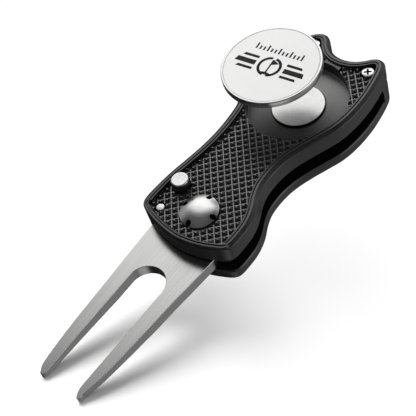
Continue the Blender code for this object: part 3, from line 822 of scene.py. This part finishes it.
def grip_pad(name, region):
    """A smooth border round a knurled field. The field's cutters differ a little
    from the border's, so that no two walls coincide."""
    if name == "front":
        phase = FRONT_PHASE
        base_holes = front_pad_holes(9.2, 13.9)
        knurl_holes = front_pad_holes(9.25, 13.95, 0.01)
    else:
        # A round hole for the screw opens into a wedge towards +X.
        phase = REAR_PHASE
        screw = SCREWS[name.removeprefix("rear_")]
        x, y = screw
        wedge = [Vector(corner) for corner in
                 ((x, y - 3.4), (x + 9, y - 6), (x + 9, y + 6), (x, y + 3.4))]
        base_holes = [drum(screw, 1.9, 9.3, 13.8), prism(wedge, 9.4, 13.7)]
        wider = [corner + Vector((-0.01, 0)) for corner in wedge]
        knurl_holes = [drum(screw, 1.91, 9.35, 13.75), prism(wider, 9.45, 13.65)]
    base = carve(
        loft(pad_ring, [(0.0, PAD_BOTTOM), (0.0, PAD_TOP - 0.1), (0.1, PAD_TOP)]),
        ("INTERSECT", prism(region, 9.9, 14.4)),
        prism(knurl_ring, GROOVE - 0.1, 14.0),
        drum(RECESS, RECESS_R + 0.57, 9.0, GROOVE - 0.07, 160),
        drum(RECESS, RECESS_R + 0.1, 9.1, 14.3, 160),
        *base_holes,
    )
    (x0, y0), (x1, y1) = region[0], region[2]
    field = [point for point in knurl_ring
             if x0 - 1 < point.x < x1 + 1 and y0 - 1 < point.y < y1 + 1]
    sheet = carve(
        knurl(field, phase),
        ("INTERSECT", prism(inset(plan, INSET + 0.06, EASE), 9.7, 14.1)),
        ("INTERSECT", prism(grown(region, -0.05), 9.6, 14.6)),
        drum(RECESS, RECESS_R + 0.12, 9.5, 14.2, 160),
        *knurl_holes,
    )
    # Faces that look straight up take the paler grip paint, a painted highlight.
    piece(f"grip_pad_{name}", carve(base, ("UNION", sheet)), grip_black, "handle",
          f"grip_{name}", sharp=12.0, weighted=False,
          second=(grip_painted_highlight, lambda centre, normal:
                  normal.z > 0.95 and centre.z > GROOVE - 0.02))


for name, region in PADS.items():
    grip_pad(name, region)

# ------------------------------------------------------------------ back housing
plate = loft(
    plan,
    [(0.75, 0.0), (0.42, 0.09), (0.15, 0.3), (0.03, 0.55), (0.0, 0.8),
     (0.0, BACK_TOP - 0.42), (0.03, BACK_TOP - 0.34), (0.26, BACK_TOP - 0.07),
     (0.34, BACK_TOP - 0.01), (0.42, BACK_TOP)],
)
spine = loft(
    plan,
    [(0.0, BACK_TOP - 0.8), (0.0, SPINE_TOP - 1.5), (0.05, SPINE_TOP - 1.05),
     (0.17, SPINE_TOP - 0.65), (0.38, SPINE_TOP - 0.3), (0.7, SPINE_TOP)],
)
# The spine stays as a wall along the left side and the rear, with a post round
# each screw. Stations (x, y) from the datum bound the part open on the right.
OPEN_RIGHT = [
    (-20.0, -30.0), (55.3, -30.0), (55.3, -13.0), (50.0, -12.5), (40.0, -12.5),
    (24.0, -6.0), (8.0, -6.0), (2.0, 0.0), (-3.5, 11.3), (-20.0, 11.3),
]
POST_R = 2.7
gap = carve(
    prism(placed(OPEN_RIGHT), BACK_TOP - 1.2, 9.2),
    ("UNION", prism(wall_ring, BACK_TOP - 1.1, 9.0)),
    *(drum(centre, POST_R, 1.0, 10.5) for centre in SCREWS.values()),
)
back = carve(
    plate,
    ("UNION", carve(spine, gap)),
    drum(PIVOT, 2.32, -1.0, 5.0),
    lathe([(0.0, 1.3), (4.1, 1.3), (4.1, 0.12), (4.3, -0.08), (4.6, -1.0), (0.0, -1.0)],
          PIVOT, 96),
    drum(BUTTON, 1.75, 0.8, 5.0, 40),
    drum(STOP, STOP_BORE_R, 0.8, 5.0, 32),
    *(drum(centre, 0.86, 2.0, 9.0, 32) for centre in SCREWS.values()),
)


def in_fork_gap(centre, normal):
    """The plate's top, and the spine's walls well inside the outline: the faces inside the
    fork's slot that take the darker, duller black as painted shade.
    """
    on_plate = normal.z > 0.9 and abs(centre.z - BACK_TOP) < 0.02
    return on_plate or (
        BACK_TOP < centre.z < SPINE_TOP - 0.1 and gap_to(centre.xy, plan) > 1.2)


piece("back_shell", back, black_paint, "handle", "back_body",
      second=(slot_painted_shade, in_fork_gap))

# -------------------------------------------------------------------------- fork
SLOT_CENTRE, SLOT_R = Vector((-20.05, 0.83)) + datum, 4.92
SHOULDER, TANG_R = -4.4 + datum.x, 8.0
FORK_RISE, TAPER_FROM, TAPER_TO = 1.5, -26.0 + datum.x, -51.3 + datum.x
slot_right = through(
    placed(reversed(SLOT_RIGHT)) + [SLOT_CENTRE + Vector((0, -SLOT_R))], 8, closed=False)
slot_left = through(
    [SLOT_CENTRE + Vector((0, SLOT_R))] + placed(SLOT_LEFT), 8, closed=False)
blade = (
    through(placed(FORK_RIGHT), 8, closed=False)
    + arc(Vector((-50.3, -5.5)) + datum, 0.6, 262, 118, 14)
    + slot_right[:-1]
    + arc(SLOT_CENTRE, SLOT_R, 270, 450, 60)
    + slot_left[1:]
    + arc(Vector((-50.35, 6.08)) + datum, 0.66, 258, 112, 14)
    + through(placed(reversed(FORK_LEFT)), 8, closed=False)
)
# A round tang turns about the pivot inside the handle.
half_turn = math.degrees(math.acos(SHOULDER / TANG_R))
tang = (
    [Vector((SHOULDER, 10.8 + datum.y))]
    + arc(PIVOT, TANG_R, half_turn, -half_turn, 72)
    + [Vector((SHOULDER, -9.25 + datum.y))]
)
fork_ring = evenly(blade, 0.28, closed=False) + tang
fork_ring.reverse()  # so that it runs counter-clockwise


def underside_rise(x):
    return FORK_RISE * max(0.0, min(1.0, (TAPER_FROM - x) / (TAPER_FROM - TAPER_TO)))


fork = loft(
    fork_ring,
    [(0.2, FORK_BOTTOM, 1.0), (0.06, FORK_BOTTOM + 0.05, 1.0),
     (0.0, FORK_BOTTOM + 0.18, 1.0), (0.0, FORK_TOP - 0.17), (0.02, FORK_TOP - 0.1),
     (0.07, FORK_TOP - 0.03), (0.15, FORK_TOP)],
    underside_rise,
)
# The underside folds along a line where its taper starts.
bmesh.ops.bisect_plane(
    fork, geom=[*fork.verts, *fork.edges, *fork.faces],
    plane_co=(TAPER_FROM, 0, 0), plane_no=(1, 0, 0),
)
# Besides the pivot bore there are two holes for the button, on opposite sides of
# the pivot, and one for the lower leg of the opening spring.
fork = carve(
    fork,
    drum(PIVOT, 3.05, 2.0, 9.0, 64),
    drum(BUTTON, 1.95, 2.0, 9.0),
    drum(tuple(-Vector(BUTTON)), 1.95, 2.1, 9.1),
    drum((4.15, 0.0), 0.6, 4.6, 9.2, 28),
)
piece("fork_blade", fork, fork_steel, "fork", "fork", sharp=24.0)

# --------------------------------------------------------------------- pivot cap
DOME_RISE = 1.3
cap_top = box_mm("pivot_cap")[1].z
cap_rim = cap_top - DOME_RISE
ball_r = (CAP_R**2 + DOME_RISE**2) / (2 * DOME_RISE)
dome = [(0.0, cap_top)]
for k in range(1, 15):
    radius = CAP_R * 0.97 * k / 14
    # Flatter than a ball over the crown and steeper at the edge.
    round_z = cap_top - ball_r + math.sqrt(ball_r**2 - radius * radius)
    flat_z = cap_top - (cap_top - cap_rim) * (radius / CAP_R) ** 2.7
    dome.append((radius, 0.35 * round_z + 0.65 * flat_z))
dome += [(CAP_R - 0.03, cap_rim + 0.04), (CAP_R, cap_rim - 0.1), (CAP_R, 10.35),
         (1.5, 10.35), (1.5, 6.2), (0.0, 6.2)]
# Four blind holes stand in a ring, a quarter turn apart.
NOTCH_AT, NOTCH_START = 4.12, 2
NOTCHES = [
    (NOTCH_AT * math.cos(angle), NOTCH_AT * math.sin(angle))
    for angle in (math.radians(NOTCH_START + 90 * k) for k in range(4))
]
NOTCH_PROFILE = [(0.0, 14.6), (0.68, 14.6), (0.68, cap_rim + 0.3), (0.66, cap_rim - 0.6),
                 (0.5, cap_rim - 0.75), (0.0, cap_rim - 0.8)]


# The notches' walls and floors get the near-black painted shade.
def in_notch(centre, normal):
    return centre.z > cap_rim - 1.3 and any(
        (centre.xy - Vector(notch)).length < 0.8
        and (normal.z < 0.55 or centre.z < cap_rim + 0.2)
        for notch in NOTCHES
    )


cap = carve(lathe(dome, PIVOT, 128), *(lathe(NOTCH_PROFILE, notch, 32) for notch in NOTCHES))
piece("pivot_dome", cap, chrome, "handle", "pivot_cap",
      second=(painted_shade_black, in_notch))

# ------------------------------------------------------------------------ button
crown_top, stem_bottom = crown_high.z, button_low.z
STEM_R, COLLAR_R = 1.5, 2.95
# The crown's side and underside get the near-black painted shade.
piece(
    "button_crown",
    lathe([(0.0, crown_top), (BUTTON_R - 0.5, crown_top - 0.01)]
          + fillet((BUTTON_R - 0.34, crown_top - 0.34), 0.34, 84, 0, 5)
          + [(BUTTON_R, crown_top - 0.66), (BUTTON_R - 0.05, crown_low.z),
             (0.0, crown_low.z)], BUTTON, 72),
    bead, "button", "button_cap",
    second=(painted_shade_black, lambda centre, normal: normal.z < 0.35),
)
piece(
    "button_stem",
    lathe([(0.0, button_high.z), (BUTTON_R - 0.12, button_high.z),
           (BUTTON_R, button_high.z - 0.12), (BUTTON_R, 9.4), (COLLAR_R, 9.4),
           (COLLAR_R, 8.85), (STEM_R, 8.85), (STEM_R, stem_bottom + 0.15),
           (STEM_R - 0.15, stem_bottom), (0.0, stem_bottom)], BUTTON, 72),
    black_paint, "button", "release_button",
)

# ---------------------------------------------------------------------- stop pin
piece(
    "stop_pin_head",
    lathe([(0.0, stop_high.z)]
          + fillet((STOP_R - 0.26, stop_high.z - 0.26), 0.26, 88, 0, 5)
          + [(STOP_R, 10.5), (0.9, 10.5), (0.9, stop_low.z + 0.15), (0.75, stop_low.z),
             (0.0, stop_low.z)],
          STOP, 48),
    bead, "handle", "stop_pin",
)


# ------------------------------------------------------------------- rear screws
def cross_slot(x, y, top):
    """Two bars that cross, each narrowing downwards."""
    length, width, height, lift, narrowing = 3.2, 0.85, 1.8, 0.3, 0.45
    bars = []
    for turn in (35, 125):
        bar = bmesh.new()
        bmesh.ops.create_cube(
            bar, size=1.0,
            matrix=Matrix.Translation((x, y, top + lift))
            @ Matrix.Rotation(math.radians(turn), 4, "Z")
            @ Matrix.Diagonal((length, width, height, 1.0)),
        )
        for vert in bar.verts:
            if vert.co.z < top:
                vert.co.x = x + (vert.co.x - x) * narrowing
                vert.co.y = y + (vert.co.y - y) * narrowing
        bars.append(bar)
    return bars


def rear_screw(side, x, y):
    low, high = box_mm(f"rear_screw_{side}")
    top = high.z
    thread = [(0.8 if k % 2 else 0.66, 6.9 - 0.25 * k) for k in range(17)]
    screw = lathe(
        [(0.0, top), (0.8, top - 0.01), (1.25, top - 0.04), (1.5, top - 0.12),
         (1.58, top - 0.24), (1.6, top - 0.4), (1.6, 10.35), (1.0, 10.35),
         (1.0, 7.25), (0.8, 7.15)] + thread + [(0.5, 2.5), (0.0, low.z)],
        (x, y), 56,
    )

    # The cross slot's walls and floor get the near-black painted shade.
    def in_slot(centre, normal):
        return (
            (centre.xy - Vector((x, y))).length < 1.3
            and (normal.z < 0.5 or centre.z < top - 0.25)
            and centre.z > top - 1.2
        )

    piece(f"screw_{side}", carve(screw, *cross_slot(x, y, top)), screw_steel, "handle",
          f"rear_screw_{side}", second=(painted_shade_black, in_slot))


for side, centre in SCREWS.items():
    rear_screw(side, *centre)

# ------------------------------------------------------------------------ magnet
piece(
    "magnet_disc",
    lathe([(0.0, magnet_high.z), (MAGNET_R - 0.2, magnet_high.z)]
          + fillet((MAGNET_R - 0.18, magnet_high.z - 0.18), 0.18, 80, 0, 4)
          + [(MAGNET_R, magnet_low.z + 0.1), (MAGNET_R - 0.1, magnet_low.z),
             (0.0, magnet_low.z)], RECESS, 128),
    magnet_face, "handle", "magnet",
)

# ------------------------------------------------------------------- ball marker
marker_bottom, marker_top = marker_low.z, marker_high.z
piece(
    "marker_disc",
    lathe(
        [(0.0, marker_top - 0.5), (MARKER_R - 0.57, marker_top - 0.5),
         (MARKER_R - 0.55, marker_top - 0.04), (MARKER_R - 0.5, marker_top),
         (MARKER_R - 0.24, marker_top)]
        + fillet((MARKER_R - 0.2, marker_top - 0.2), 0.2, 90, 0, 5)[1:]
        + [(MARKER_R, marker_bottom + 0.78), (MARKER_R - 0.1, marker_bottom + 0.72),
           (MARKER_R - 0.1, marker_bottom + 0.6), (MARKER_R, marker_bottom + 0.54)]
        + fillet((MARKER_R - 0.3, marker_bottom + 0.3), 0.3, 0, -90, 6)
        + [(MARKER_R - 2.0, marker_bottom), (MARKER_R - 2.06, marker_bottom + 0.08),
           (0.0, marker_bottom + 0.08)],
        MARKER, 192,
    ),
    marker_edge, "marker", "ball_marker",
    second=(marker_back, lambda centre, normal:
            normal.z < -0.8 and centre.z < marker_bottom + 0.1),
)
face_r, face_z = MARKER_R - 0.6, box_mm("marker_inlay")[1].z - 0.02
piece(
    "marker_face",
    lathe([(0.0, face_z), (face_r - 0.12, face_z), (face_r, face_z - 0.08),
           (face_r, marker_top - 0.47), (0.0, marker_top - 0.47)], MARKER, 192),
    marker_enamel, "marker", "marker_inlay",
)

# ----------------------------------------------------------------- printed motif
# A plain flag in a hole, between alignment bars, and a row of ticks above them.
# It is drawn in its own axes about the marker's centre: up is near +X, and right
# is near -Y.
UP = Vector((0.994, 0.112)).normalized()
RIGHT = Vector((UP.y, -UP.x))
MOTIF_DROP = 0.9


def motif_solid(points):
    ring = [Vector(MARKER) + RIGHT * across + UP * (above - MOTIF_DROP)
            for across, above in points]
    if sum(cross(start, end) for start, end in zip(ring, ring[1:] + ring[:1])) < 0:
        ring.reverse()
    return prism(ring, face_z - 0.04, face_z + 0.025)


def band(radius, width, start, end, steps=40):
    outer = arc((0, 0), radius + width / 2, start, end, steps)
    inner = arc((0, 0), radius - width / 2, end, start, steps)
    return [tuple(point) for point in outer + inner]


BAR_START, BAR_SLANT = 3.9, 0.4
BARS = [(0.0, 5.6, 1.45), (1.9, 4.4, 0.75), (-1.9, 4.4, 0.75)]  # level, length, height
shapes = []
for sign in (-1, 1):
    for level, length, height in BARS:
        shapes.append([
            (sign * BAR_START, level - height / 2),
            (sign * (BAR_START + length), level - height / 2),
            (sign * (BAR_START + length - BAR_SLANT), level + height / 2),
            (sign * BAR_START, level + height / 2),
        ])
# The ring in two halves, the pole, the flag and the hole.
shapes += [
    band(2.75, 0.72, 100, 260),
    band(2.75, 0.72, -80, 80),
    [(-0.2, -1.8), (0.2, -1.8), (0.2, 2.3), (-0.2, 2.3)],
    [(0.2, 2.3), (0.2, 0.7), (1.85, 1.5)],
    [(math.cos(angle) * 1.3, -1.8 - 0.4 + math.sin(angle) * 0.4)
     for angle in (2 * math.pi * k / 28 for k in range(28))],
]
TICK_PITCH, TICK_HALF, TICK_FOOT = 1.05, 0.22, 4.3
for k in range(13):
    middle = (k - 6) * TICK_PITCH
    tick_top = TICK_FOOT + (1.9 if k % 3 == 0 else 1.2)
    shapes.append([(middle - TICK_HALF, TICK_FOOT), (middle + TICK_HALF, TICK_FOOT),
                   (middle + TICK_HALF, tick_top), (middle - TICK_HALF, tick_top)])
marks = bmesh.new()
for shape in shapes:
    part = motif_solid(shape)
    part_mesh = bpy.data.meshes.new("mark")
    part.to_mesh(part_mesh)
    part.free()
    marks.from_mesh(part_mesh)
    bpy.data.meshes.remove(part_mesh)
piece("marker_motif", marks, ink, "marker")


# ----------------------------------------------------------------------- springs
def spring(centre, radius, wire_r, z0, z1, turns, sides, wire_sides, lead=(), tail=()):
    """A swept wire: a round section carried along a helix and its two legs."""
    steps = int(turns * sides)
    path = [Vector(point) for point in lead]
    for k in range(steps + 1):
        angle = 2 * math.pi * turns * k / steps
        path.append(Vector((centre[0] + radius * math.cos(angle),
                            centre[1] + radius * math.sin(angle),
                            z0 + (z1 - z0) * k / steps)))
    path += [Vector(point) for point in tail]
    solid = bmesh.new()
    rows, side = [], None
    for i, point in enumerate(path):
        ahead = (path[min(i + 1, len(path) - 1)] - path[max(i - 1, 0)]).normalized()
        if side is None:
            side = ahead.orthogonal().normalized()
        side = (side - ahead * side.dot(ahead)).normalized()
        over = ahead.cross(side)
        rows.append([
            solid.verts.new(point + (side * math.cos(angle) + over * math.sin(angle)) * wire_r)
            for angle in (2 * math.pi * k / wire_sides for k in range(wire_sides))
        ])
    bridge(solid, rows)
    return solid


COIL_R = 4.15
opening_spring = spring_piece(
    "opening_spring",
    spring(PIVOT, COIL_R, wire_r=0.2, z0=7.65, z1=9.1, turns=2.5, sides=40, wire_sides=10,
           lead=[(COIL_R, -0.12, 5.2), (COIL_R, -0.12, 6.2), (COIL_R, -0.12, 7.35)],
           tail=[(-COIL_R, -2.4, 9.1), (-COIL_R, -4.9, 9.1)]),
    "torsion_spring",
)
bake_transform(opening_spring)

RETURN_WIRE_R = 0.17
coil_low, coil_high = box_mm("button_spring")
return_spring = spring_piece(
    "return_spring",
    spring(BUTTON, 1.2, wire_r=RETURN_WIRE_R, z0=coil_low.z + RETURN_WIRE_R,
           z1=coil_high.z - RETURN_WIRE_R, turns=5.0, sides=32, wire_sides=8),
    "button_spring",
)
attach(return_spring, "handle")
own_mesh(return_spring)

# ------------------------------------------------- CAD nodes that keep their shape
for name, finish in (("pivot_sleeve", plain_steel), ("pivot_bush", bronze),
                     ("washer_front", polymer), ("washer_back", polymer)):
    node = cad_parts[name]
    node.data.materials.clear()
    node.data.materials.append(finish)
    split = node.modifiers.new("edges", "EDGE_SPLIT")
    split.split_angle = math.radians(35)
    node.data.shade_smooth()

# ------------------------------------------------------------------------- floor
# The tool leans on the tips of its fork: the floor passes just under them and
# falls away below the handle.
FLOOR_HALF, FLOOR_GAP = 6.0, 0.0001
LEAN = math.radians(19.8)
fork_tip = Vector((fork_low.x + 0.75, 0.0, FORK_BOTTOM + FORK_RISE)) * MM


def floor_white():
    """White that glows more and shades less away from the fork's tips, so that
    shadows show near the tips and fade out."""
    look = Look("floor_white")
    look.shade({"Roughness": 0.9, "Specular IOR Level": 0.0,
                "Emission Color": (1, 1, 1, 1)})
    place = look.node("NewGeometry").outputs["Position"]
    reach = look.vector_math("DISTANCE", place, fork_tip).outputs["Value"]
    # Socket, and its values near the tips, at middle reach and far away.
    for socket, near, middle, far in (("Base Color", 0.95, 0.16, 0.01),
                                      ("Emission Strength", 0.08, 0.89, 1.03)):
        steps = [
            look.ramp(reach, to=to, span=span, interpolation_type="SMOOTHSTEP")
            for span, to in (((0.008, 0.068), (near, middle)),
                             ((0.066, 0.104), (0.0, far - middle)))
        ]
        look.shade({socket: look.math("ADD", *steps)})
    return look.material


floor_mesh = bpy.data.meshes.new("floor")
sheet = bmesh.new()
bmesh.ops.create_grid(sheet, x_segments=1, y_segments=1, size=FLOOR_HALF)
sheet.to_mesh(floor_mesh)
sheet.free()
floor = bpy.data.objects.new("floor", floor_mesh)
floor_up = Vector((math.sin(LEAN), 0.0, math.cos(LEAN)))
floor.rotation_euler = (0.0, LEAN, 0.0)
floor.location = fork_tip - floor_up * FLOOR_GAP
scene.collection.objects.link(floor)
floor_mesh.materials.append(floor_white())
floor.visible_glossy = False

# ------------------------------------------------------------------------ lights
LAMP_AIM = Vector((0.01, 0.0, 0.005))


def lamp(name, where, size, power):
    """A square panel aimed at the tool. Reflections don't show it."""
    data = bpy.data.lights.new(name, "AREA")
    data.shape = "RECTANGLE"
    data.size = data.size_y = size
    data.energy = power
    data.spread = math.radians(180.0)
    obj = bpy.data.objects.new(name, data)
    obj.location = where
    obj.rotation_mode = "QUATERNION"
    obj.rotation_quaternion = (LAMP_AIM - Vector(where)).to_track_quat("-Z", "Y")
    obj.visible_glossy = False
    scene.collection.objects.link(obj)


lamp("key", where=(0.27, 0.49, 0.60), size=0.5, power=8.0)
lamp("fill", where=(0.0, 0.1, 0.9), size=1.6, power=1.8)

# Soft round panels that only reflections see: the axis towards each, the angles in
# degrees where it starts to fade and where it ends, and its strength.
PANELS = [
    ((0.68, 0.48, 0.55), 18, 38, 2.1),
    ((0.36, -0.55, -0.70), 10, 48, 0.32),
    ((0.36, -0.90, 0.20), 8, 26, 1.9),
    ((0.9, -0.3, -0.1), 10, 45, 0.16),
    ((-0.55, -0.45, -0.70), 5, 26, 0.6),
    ((-0.15, 0.05, 1.0), 10, 42, 0.12),
    ((0.05, 0.93, 0.36), 8, 30, 0.5),
    # Panels that light the metal in views from the back and the ends.
    ((-0.30, -0.90, 0.34), 8, 32, 0.32),
    ((0.90, -0.40, 0.26), 10, 34, 0.5),
    ((-0.98, -0.20, 0.05), 4, 20, 0.3),
]
# World strengths: between the panels, for diffuse light, and behind the scene.
PANEL_BASE, DIFFUSE_STRENGTH, BACKDROP_STRENGTH = 0.025, 0.18, 1.0

world = bpy.data.worlds.new("studio")
scene.world = world
world.use_nodes = True
sky = Nodes(world.node_tree)
sky.tree.nodes.clear()
direction = sky.node("TexCoord").outputs["Generated"]
total = PANEL_BASE
for axis, inner, outer, strength in PANELS:
    facing = sky.vector_math("DOT_PRODUCT", direction, tuple(Vector(axis).normalized()))
    panel = sky.ramp(
        facing.outputs["Value"], to=(0.0, strength),
        span=(math.cos(math.radians(outer)), math.cos(math.radians(inner))),
        interpolation_type="SMOOTHSTEP",
    )
    total = sky.math("ADD", panel, total)
ray = sky.node("LightPath").outputs
glossy, diffuse, backdrop = (
    sky.node("Background", {"Strength": strength}).outputs[0]
    for strength in (total, DIFFUSE_STRENGTH, BACKDROP_STRENGTH)
)
lit = sky.node("MixShader", {0: ray["Is Glossy Ray"], 1: diffuse, 2: glossy})
seen = sky.node("MixShader", {0: ray["Is Camera Ray"], 1: lit.outputs[0], 2: backdrop})
sky.node("OutputWorld", {"Surface": seen.outputs[0]})

scene.view_settings.view_transform = "Standard"
scene.view_settings.look = "None"

# ------------------------------------------------------------------------ camera
CAMERA_AT = (-0.091245, -0.136318, 0.2142)
# Directions of the picture's right, down and depth.
CAMERA_RIGHT = Vector((0.615564, -0.756209, -0.221877))
CAMERA_DOWN = Vector((-0.702361, -0.398717, -0.589672))
CAMERA_AHEAD = Vector((0.357449, 0.518818, -0.776568))

camera_data = bpy.data.cameras.new("camera")
camera_data.sensor_width = 36.0
camera_data.lens = 95.97
camera_data.clip_start = 0.01
camera_data.clip_end = 20.0
camera = bpy.data.objects.new("camera", camera_data)
scene.collection.objects.link(camera)
turn = Matrix((CAMERA_RIGHT, -CAMERA_DOWN, -CAMERA_AHEAD)).transposed().to_4x4()
camera.matrix_world = Matrix.Translation(CAMERA_AT) @ turn
scene.camera = camera
